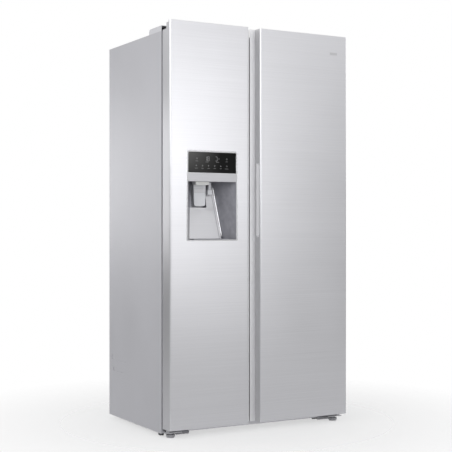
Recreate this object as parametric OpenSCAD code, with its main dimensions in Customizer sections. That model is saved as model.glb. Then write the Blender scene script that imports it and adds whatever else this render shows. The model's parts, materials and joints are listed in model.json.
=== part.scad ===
// Side by side refrigerator: a narrow freezer on the left, a wider fridge on the right.
// +Z is up, +Y is to the back, and the origin is on the floor under the middle of the object.
// "u" is a distance from the outer side of a half, "t" a distance behind the front of the doors.

/* [Overall] */
// Width over the cabinet
total_w = 908; // [850:1:1100]
// Depth from the door fronts to the rear cover
total_d = 647; // [630:1:780]
// Height from the floor to the top edge of the doors
total_h = 1775; // [1700:1:2140]

/* [Cabinet] */
// Distance from the door fronts to the front of the cabinet
cabinet_t = 83.5; // [82:0.5:100]
// Height of the cabinet's lower edge above the floor
cabinet_base = 15.3; // [12:0.1:20]
// How far the cabinet's top is below the top edge of the doors
cabinet_drop = 36.7; // [34:0.1:44]
// Thickness of the painted sheet
sheet = 1; // [0.8:0.1:1.5]
// Width of the front flange folded from each side panel
flange_w = 20; // [15:1:24]
// Insulated outer wall, sheet and liner included
wall_w = 52; // [44:1:64]
// Insulated wall between the two compartments
mullion_w = 50; // [40:1:60]
// Insulation above the compartments
ceiling_h = 48; // [40:1:60]
// Insulation behind the compartments
back_wall = 57; // [45:1:70]
// Height of the compartment floors above the ground
floor_z = 92; // [88:1:100]
// Thickness of the plastic liners
liner_t = 2; // [1.5:0.5:3]
// Depth of the machine room at the bottom of the back
machine_d = 200; // [190:1:230]
// Height of the machine room's roof above the ground
machine_h = 250; // [240:1:270]
// Insulation round the machine room
machine_wall = 50; // [40:1:60]
// Depth of the pressed ribs in the side panels
rib_deep = 2; // [1:0.5:3]

/* [Doors] */
// Width of the freezer door with its share of the channel
freezer_door_w = 412; // [380:1:440]
// Gap between the two doors at the bottom of the channel
split_gap = 4.5; // [3:0.5:6]
// Depth of a door's body without its gasket
door_d = 68; // [60:1:70]
// Height of the doors' lower edge above the floor
door_base = 38.6; // [37:0.1:44]
// Width of the recessed strip on each door that makes the channel
ledge_w = 26.6; // [20:0.1:34]
// Depth of the channel between the doors
ledge_t = 45; // [40:1:48]
// Thickness of the doors' steel skin
skin = 0.8; // [0.6:0.1:1.2]
// Radius of the doors' vertical front edges
edge_r = 7; // [4:0.5:8]
// Depth of the highest strip at the top of a door
crown_t = 13; // [11:1:15]
// Depth of the middle step at the top of a door
step_t = 34; // [30:1:35]
// How far the middle step is below the top edge
step_drop = 9; // [6:0.5:12]
// How far the rear of the door top is below the top edge
rear_drop = 35; // [33:0.5:36]
// Height of the end caps inside the skin
cap_h = 26; // [22:1:34]
// How far the inner ridge of a door reaches into the cabinet
dyke_t = 115; // [100:1:120]
// Width of the inner ridge
dyke_w = 22; // [16:1:26]
// Gap between the inner ridge and the compartment walls
dyke_gap = 10; // [9:1:14]
// Wall of the door bins
bin_wall = 2; // [1.5:0.5:3]
// How far the bins reach into the cabinet
bin_t = 183; // [160:1:186]
// Height of a door bin
bin_h = 95; // [70:1:110]

/* [Grip pockets] */
// Height of the pockets' lower end above the floor
grip_z = 858; // [800:1:900]
// Length of the pockets
grip_h = 323; // [250:1:340]
// Distance from the door front to the pocket
grip_t = 9; // [8:0.5:10]
// Width of the pocket's mouth
grip_open = 24; // [18:1:26]
// How deep the fingers reach sideways
grip_deep = 20; // [14:1:24]

/* [Hinges] */
// Distance of the hinge axis from the cabinet's outer side
hinge_u = 16; // [15:0.5:18]
// Distance of the hinge axis behind the door front
hinge_t = 50; // [46:0.5:52]
// Radius of the hinge pins
pin_r = 5; // [4:0.5:6]
// Clearance all round a pin, shaft or screw
run_gap = 0.05; // [0.03:0.01:0.09]
// Thickness of the hinge plates
plate_t = 4; // [3:0.5:4.5]

/* [Dispenser] */
// Distance of the dispenser frame from the freezer door's outer side
disp_u = 80.4; // [60:0.1:84]
// Width over the dispenser frame
disp_w = 246; // [205:0.1:260]
// Height of the frame's lower edge above the floor
disp_z = 840; // [815:1:870]
// Width of the frame's edge
bezel_w = 5; // [4:0.1:8]
// Height of the cavity
cavity_h = 250; // [200:1:260]
// Depth of the cavity's back wall at the top
cavity_t = 104; // [90:1:106]
// Depth of the cavity's back wall at the bottom
cavity_low_t = 60; // [50:1:70]
// Inward slope of the cavity's side walls, mm across for each mm of depth
cavity_slope = 0.6; // [0.4:0.05:0.7]
// Height of the light band above the cavity
band_h = 36; // [30:1:48]
// Height of the display window
display_h = 90.5; // [80:0.5:110]
// Width of the paddle
paddle_w = 62; // [50:1:70]
// Length of the paddle
paddle_h = 99; // [80:1:110]

/* [Fittings] */
// Radius of the levelling feet
foot_r = 17; // [14:1:19]
// Radius of the rollers
roller_r = 20; // [18:0.5:22]
// Radius over the thread of the water inlet
inlet_r = 13.2; // [12:0.1:14]
// Thickness of the glass shelves
glass_t = 5; // [4:0.5:6]
// Travel of the drawers
drawer_travel = 150; // [100:5:150]
// Gap round drawers and shelves inside their compartment
fit_gap = 3; // [2:0.5:5]

/* [Hidden] */

$fn = 48;
eps = 0.01;                                   // overlap that joins parts of one piece
freezer = -1;                                 // the two halves
fridge = 1;
front_y = -total_d / 2;
cabinet_top = total_h - cabinet_drop;
door_top = total_h;
door_rear_top = total_h - rear_drop;
ceiling_z = cabinet_top - ceiling_h;
back_t = total_d - back_wall;                 // rear wall of the compartments
machine_t = total_d - machine_d;
sill_t = machine_t - machine_wall;            // step in the compartment floor
sill_z = machine_h + machine_wall;
pan_z = floor_z - 32;                         // sheet under the insulation
plate_z = 20;                                 // floor of the machine room
duct_t = back_t - 70;                         // freezer duct cover
flange_t = 2;                                 // liner flanges round the mouths
drawer_t = bin_t + 8;                         // fronts of drawers and shelves
drawer_lower_h = 185;
drawer_upper_z = sill_z + 8;
drawer_upper_h = 190;
shelf_zone_z = drawer_upper_z + drawer_upper_h + 10;
bucket_z = disp_z + cavity_h + band_h + display_h + 82;
bucket_h = 170;
spout_t = 92;                                 // front of the ice bucket's spout
bump_t = 134;                                 // back of the dispenser housing
bump_wall = 3;
bump_u = [disp_u + 34, disp_u + disp_w - 34];
bump_z = [disp_z - 8, bucket_z - 10];
cavity_u = [disp_u + bezel_w, disp_u + disp_w - bezel_w];
cavity_z = [disp_z + bezel_w, disp_z + bezel_w + cavity_h];
display_z = [cavity_z[1] + band_h, cavity_z[1] + band_h + display_h];
disp_top = display_z[1] + bezel_w;
paddle_u = disp_u + 71 + paddle_w / 2;        // centre of the paddle
paddle_t = 80;
paddle_axis_z = cavity_z[1] - 6;
chute_u = disp_u + 93;                        // centre of the ice chute
foot_u = 34;
foot_t = 64;
bracket_z = 22;
front_roller_t = 128;
rear_roller_t = total_d - 60;
fan_z = sill_z + 560;

// Width of the door and inner edge of the compartment on one half
function door_w(side) = side < 0 ? freezer_door_w : total_w - split_gap - freezer_door_w;
function room_u1(side) = door_w(side) + split_gap / 2 - mullion_w / 2;
// Heights of n shelves spread over the free space of a compartment
function shelf_zs(n, low, high) = [for (i = [1:n]) low + (high - low) * i / (n + 1)];
freezer_shelf_zs = concat([shelf_zone_z], shelf_zs(2, shelf_zone_z, bucket_z));
fridge_shelf_zs = concat([shelf_zone_z], shelf_zs(4, shelf_zone_z, ceiling_z));
ledge = 8;                                    // ribs in the liners that carry the shelves

// Places children that are drawn with u, t and z
module half(side) {
  translate([side * total_w / 2, front_y, 0])
    mirror([side > 0 ? 1 : 0, 0, 0]) children();
}
// Box between two corners
module span(lo, hi) { translate(lo) cube(hi - lo); }
// Side view outline, points given as [t, z], drawn from u0 to u1
module profile(u0, u1, points) {
  translate([u0, 0, 0]) rotate([90, 0, 90]) linear_extrude(u1 - u0) polygon(points);
}
// Open box with a floor and four walls
module tray(lo, hi, wall) {
  difference() {
    span(lo, hi);
    span(lo + [wall, wall, wall], hi + [-wall, -wall, 1]);
  }
}
// Round bar along an axis: "x", "y" or "z"
module bar(at, r, len, dir) {
  turn = dir == "x" ? [0, 90, 0] : dir == "y" ? [-90, 0, 0] : [0, 0, 0];
  translate(at) rotate(turn) cylinder(r = r, h = len);
}

// ---------- Cabinet ----------
// Pressed ribs low at the rear of a side panel; grow widens them, deep is how far they reach in
module ribs(grow, deep) {
  for (r = [[204, 204, 27, 277, 22], [198, 159, 43, 226, 19]])
    profile(-1, deep, [
      [total_d - r[1] - grow, r[3] - grow], [total_d - r[2] - 8, r[3] - grow],
      [total_d - r[2] + grow, r[3] + r[4] / 2], [total_d - r[2] - 8, r[3] + r[4] + grow],
      [total_d - r[0] - grow + 8, r[3] + r[4] + grow], [total_d - r[0] - grow, r[3] + r[4] / 2]
    ]);
}
module side_panel(side) {
  color([0.72, 0.72, 0.74]) half(side) difference() {
    union() {
      span([0, cabinet_t, cabinet_base], [sheet, total_d, cabinet_top]);
      span([0, cabinet_t, cabinet_base], [flange_w, cabinet_t + sheet, cabinet_top]);
      span([0, total_d - sheet, cabinet_base], [12, total_d, cabinet_top]);
      intersection() {
        ribs(sheet, rib_deep + sheet);
        span([0, 0, 0], [50, total_d, total_h]);
      }
    }
    ribs(0, rib_deep);
  }
}
module side_panel_left() { side_panel(freezer); }
module side_panel_right() { side_panel(fridge); }
module top_panel() {
  color([0.7, 0.7, 0.72]) half(freezer)
    span([sheet, cabinet_t + sheet, cabinet_top - sheet], [total_w - sheet, total_d - sheet, cabinet_top]);
}
module back_panel() {
  color([0.6, 0.61, 0.63]) half(freezer) difference() {
    span([12, total_d - sheet, machine_h], [total_w - 12, total_d, cabinet_top]);
    for (u = [total_w / 4, total_w * 3 / 4])
      span([u - 120, total_d - sheet - 1, machine_h + 150],
           [u + 120, total_d - sheet / 2, cabinet_top - 150]);
  }
}
// Outline of the insulated body behind the front flanges, as seen from the side
function body_points(front, low) = [
  [front, pan_z + low], [machine_t - low, pan_z + low], [machine_t - low, machine_h + low],
  [total_d - sheet, machine_h + low]
];
roller_us = [70, 106];                        // inner faces of each roller's two cheeks
// Cheeks that hold a pair of rollers, one pair on each half
module roller_cheeks(t, half_len, top) {
  for (side = [freezer, fridge]) half(side)
    for (u = [roller_us[0] - 3, roller_us[1]])
      difference() {
        span([u, t - half_len, roller_r - 12], [u + 3, t + half_len, top]);
        bar([u - 1, t, roller_r], 4 + run_gap, 5, "x");
      }
}
module base_pan() {
  front = cabinet_t + flange_t;
  color([0.45, 0.46, 0.48]) {
    half(freezer) {
      profile(sheet, total_w - sheet, concat(body_points(front, 0), [
        for (p = [3:-1:0]) body_points(front, sheet)[p]
      ]));
      for (u = [sheet, total_w - sheet - 2])
        span([u, front, cabinet_base], [u + 2, total_d - 16, pan_z + eps]);
      difference() {
        span([sheet + 2 - eps, machine_t - 20, plate_z],
             [total_w - sheet - 2 + eps, total_d - 16, plate_z + 2]);
        for (u = [roller_us[0], total_w - roller_us[1]])
          span([u - 6, rear_roller_t - roller_r - 4, 0], [u + 42, rear_roller_t + roller_r + 4, 60]);
      }
    }
    roller_cheeks(front_roller_t, 15, pan_z + eps);
    roller_cheeks(rear_roller_t, 32, plate_z + 16);
  }
}
// Steel strips round the cabinet's mouth that the door gaskets close on
module front_frame() {
  strip_u = room_u1(freezer) + 10;
  color([0.85, 0.85, 0.87]) half(freezer) {
    span([flange_w, cabinet_t, cabinet_base + 1], [total_w - flange_w, cabinet_t + sheet, pan_z]);
    span([flange_w, cabinet_t, cabinet_top - 20], [total_w - flange_w, cabinet_t + sheet, cabinet_top]);
    span([strip_u, cabinet_t, pan_z - eps],
         [strip_u + mullion_w - 20, cabinet_t + sheet, cabinet_top - 20 + eps]);
  }
}
// Side view of a compartment, pushed out by m
function room_points(m, front) = [
  [front, floor_z - m], [sill_t + m, floor_z - m], [sill_t + m, sill_z - m],
  [back_t + m, sill_z - m], [back_t + m, ceiling_z + m], [front, ceiling_z + m]
];
module room(side, m, front) { profile(wall_w - m, room_u1(side) + m, room_points(m, front)); }
module cabinet_foam() {
  front = cabinet_t + flange_t;
  color([0.9, 0.87, 0.7]) difference() {
    half(freezer) profile(sheet, total_w - sheet, concat(body_points(front, sheet), [
      [total_d - sheet, cabinet_top - sheet], [front, cabinet_top - sheet]
    ]));
    for (side = [freezer, fridge]) half(side) {
      room(side, liner_t, cabinet_t - 1);
      ribs(sheet, rib_deep + sheet);
    }
  }
}
// Moulded liner of one compartment with its front flange and shelf ledges at the heights zs
module liner(side, zs, ledge_end) {
  color([0.93, 0.94, 0.95]) half(side) {
    difference() {
      union() {
        room(side, liner_t, cabinet_t);
        span([flange_w, cabinet_t, pan_z], [room_u1(side) + 10, cabinet_t + flange_t, cabinet_top - 20]);
      }
      room(side, 0, cabinet_t - 1);
    }
    for (z = zs, u = [wall_w - eps, room_u1(side) - ledge])
      span([u, drawer_t + 10, z - 6], [u + ledge + eps, ledge_end, z]);
  }
}
module freezer_liner() {
  liner(freezer, concat(freezer_shelf_zs, [drawer_upper_z - 1, bucket_z]), duct_t - 4);
}
module fridge_liner() {
  liner(fridge, concat(fridge_shelf_zs, [drawer_upper_z - 1]), back_t - 34);
}
module lamps() {
  color("white") for (side = [freezer, fridge]) half(side) {
    mid = (wall_w + room_u1(side)) / 2;
    span([mid - 90, 130, ceiling_z - 10], [mid + 90, 190, ceiling_z]);
  }
}

// ---------- Cooling ----------
// Row of fins on two rows of tubes that run along u
module coil(u0, u1, t0, t1, z0, z1, pitch) {
  for (u = [u0 + 10:pitch:u1 - 10]) span([u, t0, z0], [u + 1, t1, z1]);
  for (t = [t0 + 10, t1 - 10], z = [z0 + 15:30:z1 - 10]) bar([u0, t, z], 4, u1 - u0, "x");
}
// Fan with five tilted blades; its shaft runs along u or t
module fan(at, r, dir) {
  translate(at) rotate(dir == "x" ? [0, 0, 90] : [0, 0, 0]) {
    bar([0, -9, 0], 14, 18, "y");
    bar([0, -26, 0], 3, 26, "y");
    for (a = [0:72:288]) rotate([0, a, 0])
      translate([12, -1, -9]) rotate([28, 0, 0]) cube([r - 12, 2, 20]);
  }
}
// Plate hole for a fan with a three-armed bearing; drawn in the fan's own place
module fan_guard(at, r, dir) {
  translate(at) rotate(dir == "x" ? [0, 0, 90] : [0, 0, 0]) difference() {
    union() {
      for (a = [90:120:330]) rotate([0, a, 0]) translate([0, -24, -4]) cube([r + 4, 3, 8]);
      bar([0, -24, 0], 9, 6, "y");
    }
    bar([0, -27, 0], 3 + run_gap, 12, "y");
  }
}
module freezer_duct_cover() {
  mid = (wall_w + room_u1(freezer)) / 2;
  at = [mid, duct_t + 24, fan_z];
  color([0.92, 0.93, 0.94]) half(freezer) {
    difference() {
      span([wall_w + 0.5, duct_t, sill_z + 1], [room_u1(freezer) - 0.5, duct_t + 3, ceiling_z - 1]);
      bar([mid, duct_t - 1, fan_z], 50, 6, "y");
      for (z = [sill_z + 40:22:sill_z + 106])
        span([mid - 110, duct_t - 1, z], [mid + 110, duct_t + 4, z + 8]);
      for (u = [mid - 110, mid + 30], z = [bucket_z + 190:20:bucket_z + 250])
        span([u, duct_t - 1, z], [u + 80, duct_t + 4, z + 8]);
    }
    fan_guard(at, 49, "y");
  }
}
module evaporator() {
  color([0.8, 0.81, 0.82]) half(freezer) {
    coil(wall_w + 18, room_u1(freezer) - 18, duct_t + 12, back_t - 10, sill_z + 70, sill_z + 340, 12);
    for (u = [wall_w + 22, room_u1(freezer) - 26])
      span([u, duct_t + 10, sill_z + 60], [u + 4, back_t, sill_z + 350]);
  }
}
module evaporator_fan() {
  color([0.3, 0.3, 0.32]) half(freezer)
    fan([(wall_w + room_u1(freezer)) / 2, duct_t + 24, fan_z], 46, "y");
}
module fridge_duct_cover() {
  mid = (wall_w + room_u1(fridge)) / 2;
  color([0.9, 0.91, 0.93]) half(fridge) difference() {
    span([mid - 70, back_t - 28, shelf_zone_z + 30], [mid + 70, back_t, ceiling_z - 30]);
    span([mid - 67, back_t - 25, shelf_zone_z + 33], [mid + 67, back_t + 1, ceiling_z - 33]);
    for (z = fridge_shelf_zs, k = [0:2])
      if (z > shelf_zone_z)
        span([mid - 50, back_t - 30, z + 70 + 14 * k], [mid + 50, back_t - 20, z + 76 + 14 * k]);
  }
}
compressor_u = 200;                           // middle of the compressor
room_mid_t = machine_t + machine_d / 2;       // middle of the machine room
module compressor() {
  color([0.12, 0.12, 0.13]) half(freezer) translate([compressor_u, room_mid_t, plate_z + 2]) {
    rotate_extrude() polygon(concat([[0, 14], [52, 14]],
      [for (a = [-60:15:0]) [50 + 24 * cos(a), 38 + 24 * sin(a)]],
      [for (a = [0:15:75]) [26 + 48 * cos(a), 132 + 50 * sin(a)]], [[0, 183]]));
    translate([-85, -60, 11]) cube([170, 120, 4]);
    for (x = [-75, 75], y = [-50, 50]) translate([x, y, 0]) cylinder(r = 11, h = 12);
    translate([66, -25, 70]) cube([26, 50, 60]);
    for (y = [-40, 40]) bar([-78, y, 100], 4, 60, "x");
  }
}
condenser_u = total_w - 470;                  // start of the condenser
fan_out = 31;                                 // its fan's distance in front of it
module condenser() {
  at = [condenser_u - fan_out, room_mid_t, plate_z + 102];
  color([0.2, 0.2, 0.21]) half(freezer) {
    coil(condenser_u, condenser_u + 180, room_mid_t - 65, room_mid_t + 65, plate_z + 12, plate_z + 200, 12);
    for (u = [condenser_u + 4, condenser_u + 172])
      span([u, room_mid_t - 70, plate_z + 2], [u + 4, room_mid_t + 70, plate_z + 206]);
    difference() {
      span([condenser_u - 10, room_mid_t - 85, plate_z + 2],
           [condenser_u - 7, room_mid_t + 85, plate_z + 206]);
      bar([condenser_u - 12, room_mid_t, plate_z + 102], 66, 8, "x");
    }
    fan_guard(at, 65, "x");
    span([condenser_u - 8, room_mid_t - 20, plate_z + 2], [condenser_u + 6, room_mid_t + 20, plate_z + 8]);
  }
}
module condenser_fan() {
  color([0.25, 0.25, 0.27]) half(freezer)
    fan([condenser_u - fan_out, room_mid_t, plate_z + 102], 60, "x");
}

// ---------- Machine room ----------
module drain_pan() {
  color([0.16, 0.16, 0.17]) half(freezer)
    tray([compressor_u - 85, room_mid_t - 75, plate_z + 185],
         [compressor_u + 85, room_mid_t + 75, plate_z + 215], 2);
}
inlet_u = total_w - 130;                      // water inlet
inlet_z = machine_h - 60;
gland_u = 120;                                // power cord's gland
gland_z = machine_h - 45;
module machine_cover() {
  color([0.35, 0.36, 0.38]) half(freezer) difference() {
    span([14, total_d - 1.5, plate_z], [total_w - 14, total_d, machine_h - 0.5]);
    bar([inlet_u, total_d - 3, inlet_z], inlet_r + 9, 6, "y");
    bar([gland_u, total_d - 3, gland_z], 10, 6, "y");
    for (z = [plate_z + 30:16:machine_h - 90], u = [90:150:total_w - 200])
      span([u, total_d - 3, z], [u + 120, total_d + 1, z + 6]);
  }
}
module water_inlet() {
  color([0.85, 0.85, 0.86]) half(freezer) {
    span([inlet_u - 20, total_d - 66, inlet_z - 18], [inlet_u + 20, total_d - 26, inlet_z + 18]);
    span([inlet_u - 14, total_d - 60, inlet_z + 17], [inlet_u + 14, total_d - 34, machine_h]);
    difference() {
      bar([inlet_u, total_d - 27, inlet_z], inlet_r, 23, "y");
      bar([inlet_u, total_d - 16, inlet_z], 8, 13, "y");
    }
  }
}
module cord_gland() {
  color([0.08, 0.08, 0.08]) half(freezer) difference() {
    union() {
      bar([gland_u, total_d - 14, gland_z], 9.9, 14, "y");
      bar([gland_u, total_d - 5.5, gland_z], 13, 4, "y");
    }
    bar([gland_u, total_d - 15, gland_z], 4.5, 16, "y");
  }
}

// ---------- Inside the compartments ----------
// Drawer with a finger slot in its front
module drawer(side, z, h, end_t) {
  lo = [wall_w + fit_gap, drawer_t, z];
  hi = [room_u1(side) - fit_gap, end_t, z + h];
  mid = (lo[0] + hi[0]) / 2;
  half(side) difference() {
    union() {
      tray(lo, hi, 2.5);
      span(lo, [hi[0], drawer_t + 4, z + h]);
    }
    span([mid - 55, drawer_t - 1, z + h - 46], [mid + 55, drawer_t + 6, z + h - 22]);
  }
}
module freezer_drawer_lower() {
  color([0.88, 0.93, 0.96]) drawer(freezer, floor_z + 1, drawer_lower_h, sill_t - 5);
}
module freezer_drawer_upper() {
  color([0.88, 0.93, 0.96]) drawer(freezer, drawer_upper_z, drawer_upper_h, duct_t - 8);
}
module crisper_lower() {
  color([0.86, 0.92, 0.96]) drawer(fridge, floor_z + 1, drawer_lower_h, sill_t - 5);
}
module crisper_upper() {
  color([0.86, 0.92, 0.96]) drawer(fridge, drawer_upper_z, drawer_upper_h, back_t - 8);
}
module freezer_shelves() {
  color([0.85, 0.9, 0.93]) half(freezer) for (z = freezer_shelf_zs) {
    span([wall_w + 1, drawer_t + 4, z], [room_u1(freezer) - 1, duct_t - 6, z + glass_t]);
    span([wall_w + 1, drawer_t, z], [room_u1(freezer) - 1, drawer_t + 4 + eps, z + glass_t + 9]);
  }
}
module fridge_shelf_glass() {
  color([0.7, 0.85, 0.85, 0.5]) half(fridge) for (z = fridge_shelf_zs)
    span([wall_w + 8, drawer_t + 8, z + 3], [room_u1(fridge) - 8, back_t - 45, z + 3 + glass_t]);
}
module fridge_shelf_frames() {
  color([0.9, 0.91, 0.93]) half(fridge) for (z = fridge_shelf_zs) difference() {
    span([wall_w + 1, drawer_t, z], [room_u1(fridge) - 1, back_t - 37, z + 3 + glass_t + 1]);
    span([wall_w + 8, drawer_t + 8, z + 3], [room_u1(fridge) - 8, back_t - 45, z + 20]);
    span([wall_w + 22, drawer_t + 22, z - 1], [room_u1(fridge) - 22, back_t - 59, z + 20]);
  }
}
module ice_maker() {
  lo = [wall_w + 60, 230, ceiling_z - 110];
  hi = [room_u1(freezer) - 60, 360, ceiling_z - 60];
  color([0.8, 0.82, 0.84]) half(freezer) {
    tray(lo, hi, 3);
    for (u = [lo[0] + 28:28:hi[0] - 20]) span([u, lo[1] + 2, lo[2] + 2], [u + 2, hi[1] - 2, hi[2] - 12]);
    span([hi[0] - eps, lo[1], lo[2]], [hi[0] + 30, hi[1], hi[2] + 10]);
    for (u = [lo[0], hi[0] - 10]) span([u, lo[1] + 40, hi[2] - eps], [u + 10, lo[1] + 90, ceiling_z]);
  }
}
auger_z = bucket_z + 38;
auger_r = 32;
module ice_bucket() {
  lo = [wall_w + fit_gap, drawer_t, bucket_z];
  hi = [room_u1(freezer) - fit_gap, duct_t - 10, bucket_z + bucket_h];
  nose = [[chute_u - 70, spout_t, bucket_z], [chute_u + 70, drawer_t + 6, bucket_z + 90]];
  color([0.86, 0.9, 0.93]) half(freezer) difference() {
    union() {
      span(lo, hi);
      span(nose[0], nose[1]);
    }
    span(lo + [3, 3, 3], hi + [-3, -3, 1]);
    span(nose[0] + [3, 3, 3], nose[1] + [-3, 6, -3]);
    span([chute_u - 34, spout_t + 5, bucket_z - 1], [chute_u + 34, 128, bucket_z + 5]);
    bar([chute_u, duct_t - 20, auger_z], 4 + run_gap, 20, "y");
  }
}
module ice_auger() {
  color([0.75, 0.76, 0.77]) half(freezer) {
    bar([chute_u, spout_t + 20, auger_z], 4, duct_t - spout_t - 32, "y");
    for (k = [0:11])
      translate([chute_u, spout_t + 30 + k * 30, auger_z]) rotate([0, 60 * k, 0])
        translate([0, -3, -4]) cube([auger_r, 6, 8]);
  }
}

// ---------- Hinges, feet and rollers ----------
cover_h = 23.7;                               // height of the hinge covers
cover_end_t = cabinet_t + 123.5;
module top_hinges() {
  arm_z = cabinet_top + plate_t;
  color([0.55, 0.56, 0.58]) for (side = [freezer, fridge]) half(side) {
    span([6, cabinet_t + 8, cabinet_top], [66, cabinet_t + 108, arm_z + eps]);
    span([hinge_u - 4, hinge_t + 6, arm_z], [hinge_u + 16, cabinet_t + 100, arm_z + plate_t]);
    bar([hinge_u, hinge_t, arm_z], 10, plate_t, "z");
    bar([hinge_u, hinge_t, door_rear_top - 22], pin_r, arm_z + plate_t - door_rear_top + 22, "z");
    for (t = [24, 84]) bar([52, cabinet_t + t, arm_z], 6, 4, "z");
  }
}
// Side view of a hinge cover, drawn in by m; the rear top edge is rounded
module cover_profile(u0, u1, m, front) {
  r = 14;
  top = cabinet_top + cover_h - m;
  end = cover_end_t - m;
  profile(u0, u1, concat([[front, cabinet_top], [end, cabinet_top]],
    [for (a = [0:15:90]) [end - r + r * cos(a), top - r + r * sin(a)]], [[front, top]]));
}
module hinge_covers() {
  color([0.78, 0.78, 0.8]) for (side = [freezer, fridge]) half(side) difference() {
    cover_profile(0.6, 80, 0, cabinet_t);
    cover_profile(2.6, 78, 2, cabinet_t - 1);
  }
}
module bottom_hinges() {
  color([0.5, 0.51, 0.53]) for (side = [freezer, fridge]) half(side) difference() {
    union() {
      span([5, cabinet_t - 3, bracket_z - 5], [78, cabinet_t, door_base + 14]);
      span([3, hinge_t - 13, bracket_z], [76, cabinet_t, bracket_z + plate_t]);
      bar([foot_u, foot_t, 15], 10, bracket_z - 15 + eps, "z");
      bar([hinge_u, hinge_t, bracket_z + plate_t - eps], 9, door_base - 0.4 - bracket_z - plate_t, "z");
      bar([hinge_u, hinge_t, bracket_z], pin_r, door_base + 20 - bracket_z, "z");
    }
    bar([foot_u, foot_t, 10], 5 + run_gap, 30, "z");
  }
}
// Screw foot with a grooved rim
module foot(side) {
  color([0.6, 0.6, 0.62]) half(side) translate([foot_u, foot_t, 0]) difference() {
    union() {
      cylinder(r = foot_r, h = 13);
      cylinder(r = 5, h = 34);
    }
    for (a = [0:30:330]) rotate(a) translate([foot_r + 1, 0, 3]) cylinder(r = 2.2, h = 11, $fn = 24);
  }
}
module foot_left() { foot(freezer); }
module foot_right() { foot(fridge); }
// Pair of rollers on one line, each with its own axle
module rollers(t, r) {
  color([0.15, 0.15, 0.16]) for (side = [freezer, fridge]) half(side) {
    bar([roller_us[0] + 4, t, roller_r], r, roller_us[1] - roller_us[0] - 8, "x");
    bar([roller_us[0] - 5, t, roller_r], 4, roller_us[1] - roller_us[0] + 10, "x");
  }
}
module front_rollers() { rollers(front_roller_t, roller_r - 1); }
module rear_rollers() { rollers(rear_roller_t, roller_r); }

// ---------- Doors ----------
grip_wall = 2;                                // wall of the channel profile
function front_w(side) = door_w(side) - ledge_w;
// Plan outline of a door front with rounded edges, drawn in by m
module front_plan(w, d, m) {
  translate([edge_r, edge_r]) circle(edge_r - m);
  translate([w - edge_r, edge_r]) circle(edge_r - m);
  translate([edge_r, m]) square([w - 2 * edge_r, d - m]);
  translate([m, edge_r]) square([w - 2 * m, d - edge_r]);
}
// Plan outline of the space inside the skin and the channel profile
module core_plan(side) {
  w = front_w(side);
  intersection() {
    front_plan(w, door_d - liner_t, skin);
    square([w - grip_wall, door_d - liner_t]);
  }
  translate([w - grip_wall - 1, ledge_t + grip_wall])
    square([ledge_w + 1, door_d - liner_t - ledge_t - grip_wall]);
}
// Face outline of the dispenser frame, drawn in by m, its top corners rounded
module disp_block(m, t0, t1) {
  r = 8;
  half(freezer) translate([0, t1, 0]) rotate([90, 0, 0]) linear_extrude(t1 - t0)
    translate([disp_u + m, disp_z + m]) {
      square([disp_w - 2 * m, disp_top - disp_z - 2 * m - r]);
      translate([r, 0]) square([disp_w - 2 * m - 2 * r, disp_top - disp_z - 2 * m]);
      for (u = [r, disp_w - 2 * m - r]) translate([u, disp_top - disp_z - 2 * m - r]) circle(r);
    }
}
module door_skin(side) {
  w = front_w(side);
  half(side) difference() {
    translate([0, 0, door_base]) linear_extrude(door_top - door_base) difference() {
      front_plan(w, door_d, 0);
      front_plan(w, door_d + 1, skin);
    }
    span([w - edge_r - 1, edge_r, 0], [w + 1, door_d + 2, door_top + 1]);
    span([-1, crown_t, door_top - step_drop], [w + 1, door_d + 2, door_top + 1]);
    span([-1, step_t, door_rear_top], [w + 1, door_d + 2, door_top + 1]);
  }
}
// Channel profile: side wall with the grip pocket, recessed strip and edge
module door_grip(side) {
  w = front_w(side);
  half(side) difference() {
    union() {
      span([w - grip_wall, edge_r, door_base], [w, ledge_t + grip_wall, door_top]);
      span([w - grip_wall, ledge_t, door_base], [door_w(side), ledge_t + grip_wall, door_top]);
      span([door_w(side) - grip_wall, ledge_t, door_base], [door_w(side), door_d, door_rear_top]);
      span([w - grip_deep - grip_wall, grip_t - grip_wall, grip_z - grip_wall],
           [w - eps, grip_t + grip_open + grip_wall, grip_z + grip_h + grip_wall]);
    }
    translate([0, 0, grip_z]) linear_extrude(grip_h) polygon([
      [w - grip_deep, grip_t], [w + 1, grip_t],
      [w + 1, grip_t + grip_open], [w - grip_deep, grip_t + grip_open - 12]
    ]);
    span([w - edge_r - 1, edge_r, door_top - 1.5], [w - grip_wall + 0.5, door_d, door_top + 1]);
  }
}
module pin_hole(z, h) { bar([hinge_u, hinge_t, z], pin_r + run_gap, h, "z"); }
module door_caps(side) {
  w = front_w(side);
  half(side) difference() {
    union() {
      translate([0, 0, door_base]) linear_extrude(cap_h) core_plan(side);
      translate([0, 0, door_rear_top - cap_h]) linear_extrude(cap_h) core_plan(side);
      for (s = [[step_t, step_drop], [crown_t, 0]])
        translate([0, 0, door_rear_top - eps]) linear_extrude(rear_drop - s[1] + eps) intersection() {
          core_plan(side);
          square([w, s[0]]);
        }
    }
    pin_hole(door_base - 1, 22);
    pin_hole(door_rear_top - 23, 60);
  }
}
module door_foam(side) {
  w = front_w(side);
  half(side) difference() {
    translate([0, 0, door_base + cap_h])
      linear_extrude(door_rear_top - door_base - 2 * cap_h) core_plan(side);
    span([w - grip_deep - grip_wall, grip_t - grip_wall, grip_z - grip_wall],
         [w, grip_t + grip_open + grip_wall, grip_z + grip_h + grip_wall]);
  }
}
// Corners of a door's inner ridge
function dyke_lo() = [wall_w + dyke_gap, floor_z + dyke_gap];
function dyke_hi(side) = [room_u1(side) - dyke_gap, ceiling_z - dyke_gap];
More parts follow.
